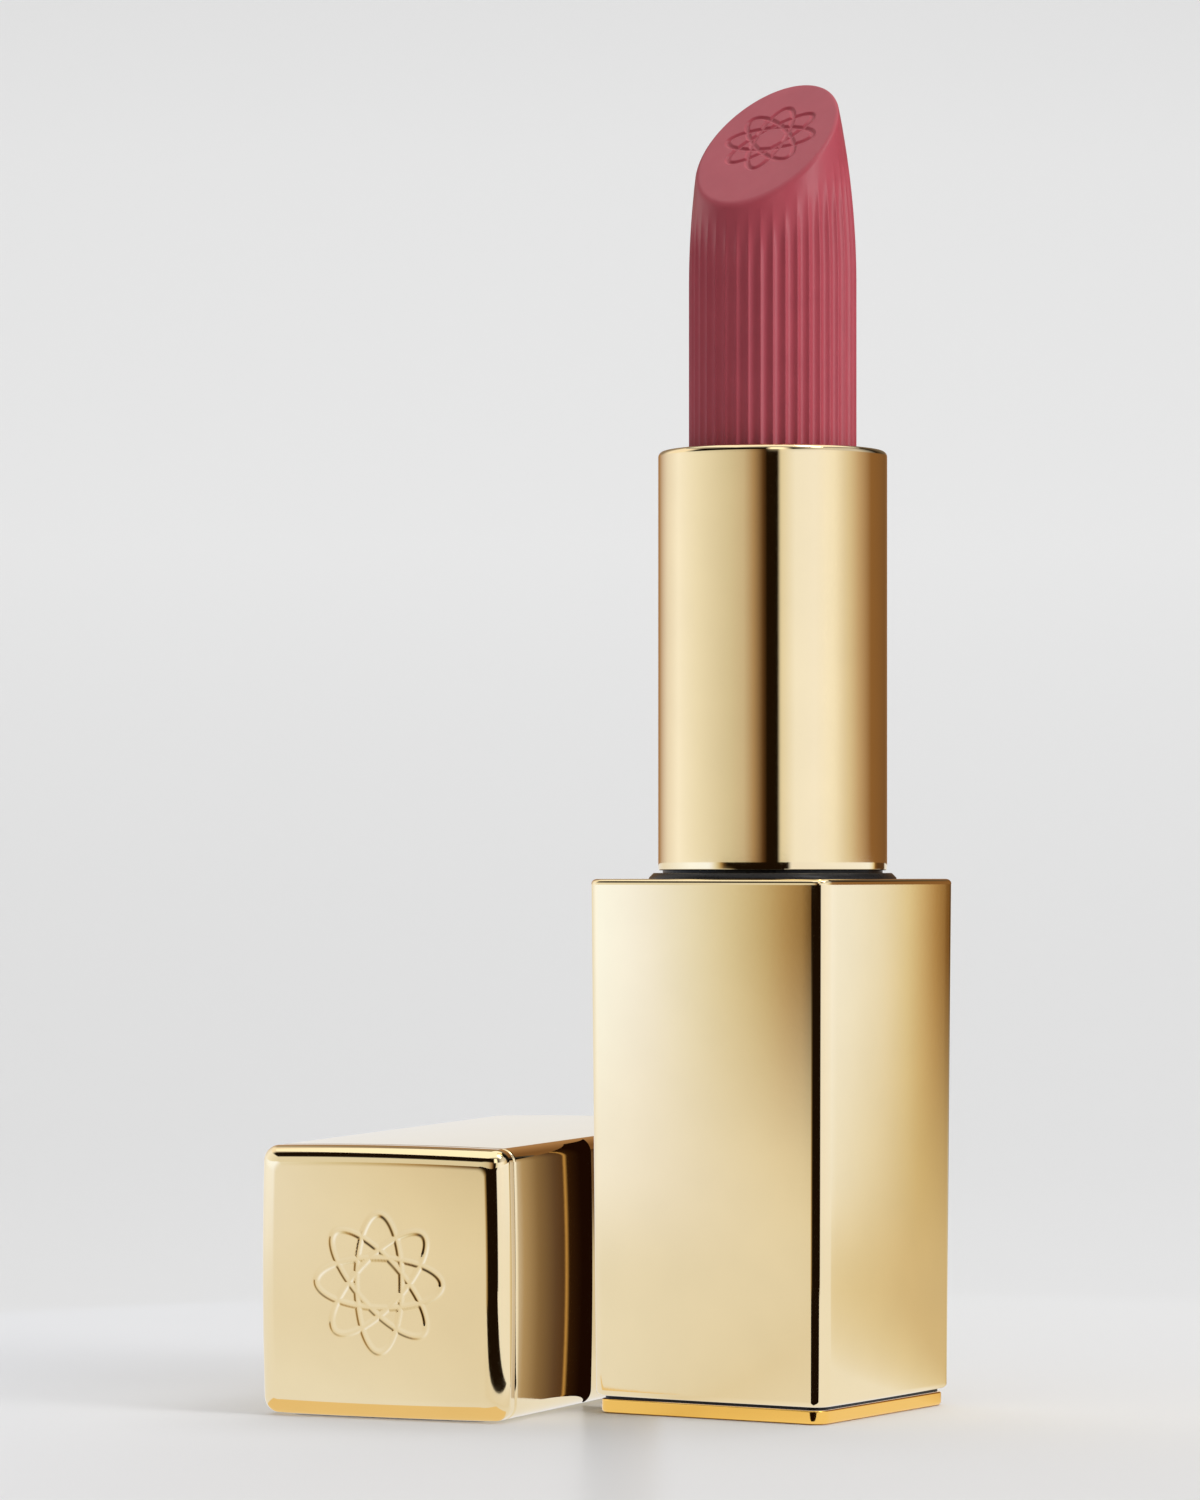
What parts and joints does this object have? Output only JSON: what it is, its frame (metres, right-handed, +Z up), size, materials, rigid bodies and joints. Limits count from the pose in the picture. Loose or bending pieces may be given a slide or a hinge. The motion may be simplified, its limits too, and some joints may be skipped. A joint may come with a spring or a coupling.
{
  "type": "lipstick case",
  "caption": "Square swivel-up lipstick case standing open with its bullet raised and its magnetic square cap lying beside it.",
  "frame": {"origin": "centre of the case's foot, on the table", "axes": "+Z up along the lipstick's axis, -Y out of the case's face that the bullet's cut faces; the cap lies on its side at -X"},
  "size_m": [0.0453, 0.0433, 0.0961],
  "materials": {
    "gold": "polished gold-tone lacquered aluminium",
    "black": "moulded black plastic",
    "steel": "plain steel",
    "magnet": "nickel-plated magnet",
    "white_plastic": "natural moulded plastic",
    "seal": "soft silicone",
    "label": "blank paper label",
    "lipstick": "satin rose lipstick wax"
  },
  "bodies": {
    "case": {"case_shell": "gold", "foot_plate": "gold", "shade_label": "label", "case_liner": "black", "base_weight": "steel", "collar": "black", "case_magnets": "magnet", "guide_base": "black", "guide_tube": "white_plastic", "brake_ring": "seal"},
    "turning_sleeve": {"sleeve": "gold", "cam_tube": "black"},
    "bullet_carrier": {"bullet_cup": "white_plastic", "bullet": "lipstick"},
    "cap": {"cap_shell": "gold", "cap_end_plate": "gold", "cap_liner": "black", "cap_weight": "steel", "cap_seal": "seal", "cap_magnets": "magnet"}
  },
  "joints": [
    {"name": "sleeve_turn", "type": "hinge", "parent": "case", "child": "turning_sleeve", "pos_m": [0, 0, 0.0388], "axis": [0, 0, 1], "range_deg": [0, 542]},
    {"name": "bullet_rise", "type": "slide", "parent": "case", "child": "bullet_carrier", "axis": [0, 0, 1], "range_m": [-0.0275, 0]},
    {"name": "cap_lift", "type": "slide", "parent": "case", "child": "cap", "axis": [0, 0, 1], "range_m": [0, 0.12]}
  ],
  "couplings": [
    {"joint": "sleeve_turn", "follows": "bullet_rise", "rad_per_m": -342.72}
  ]
}
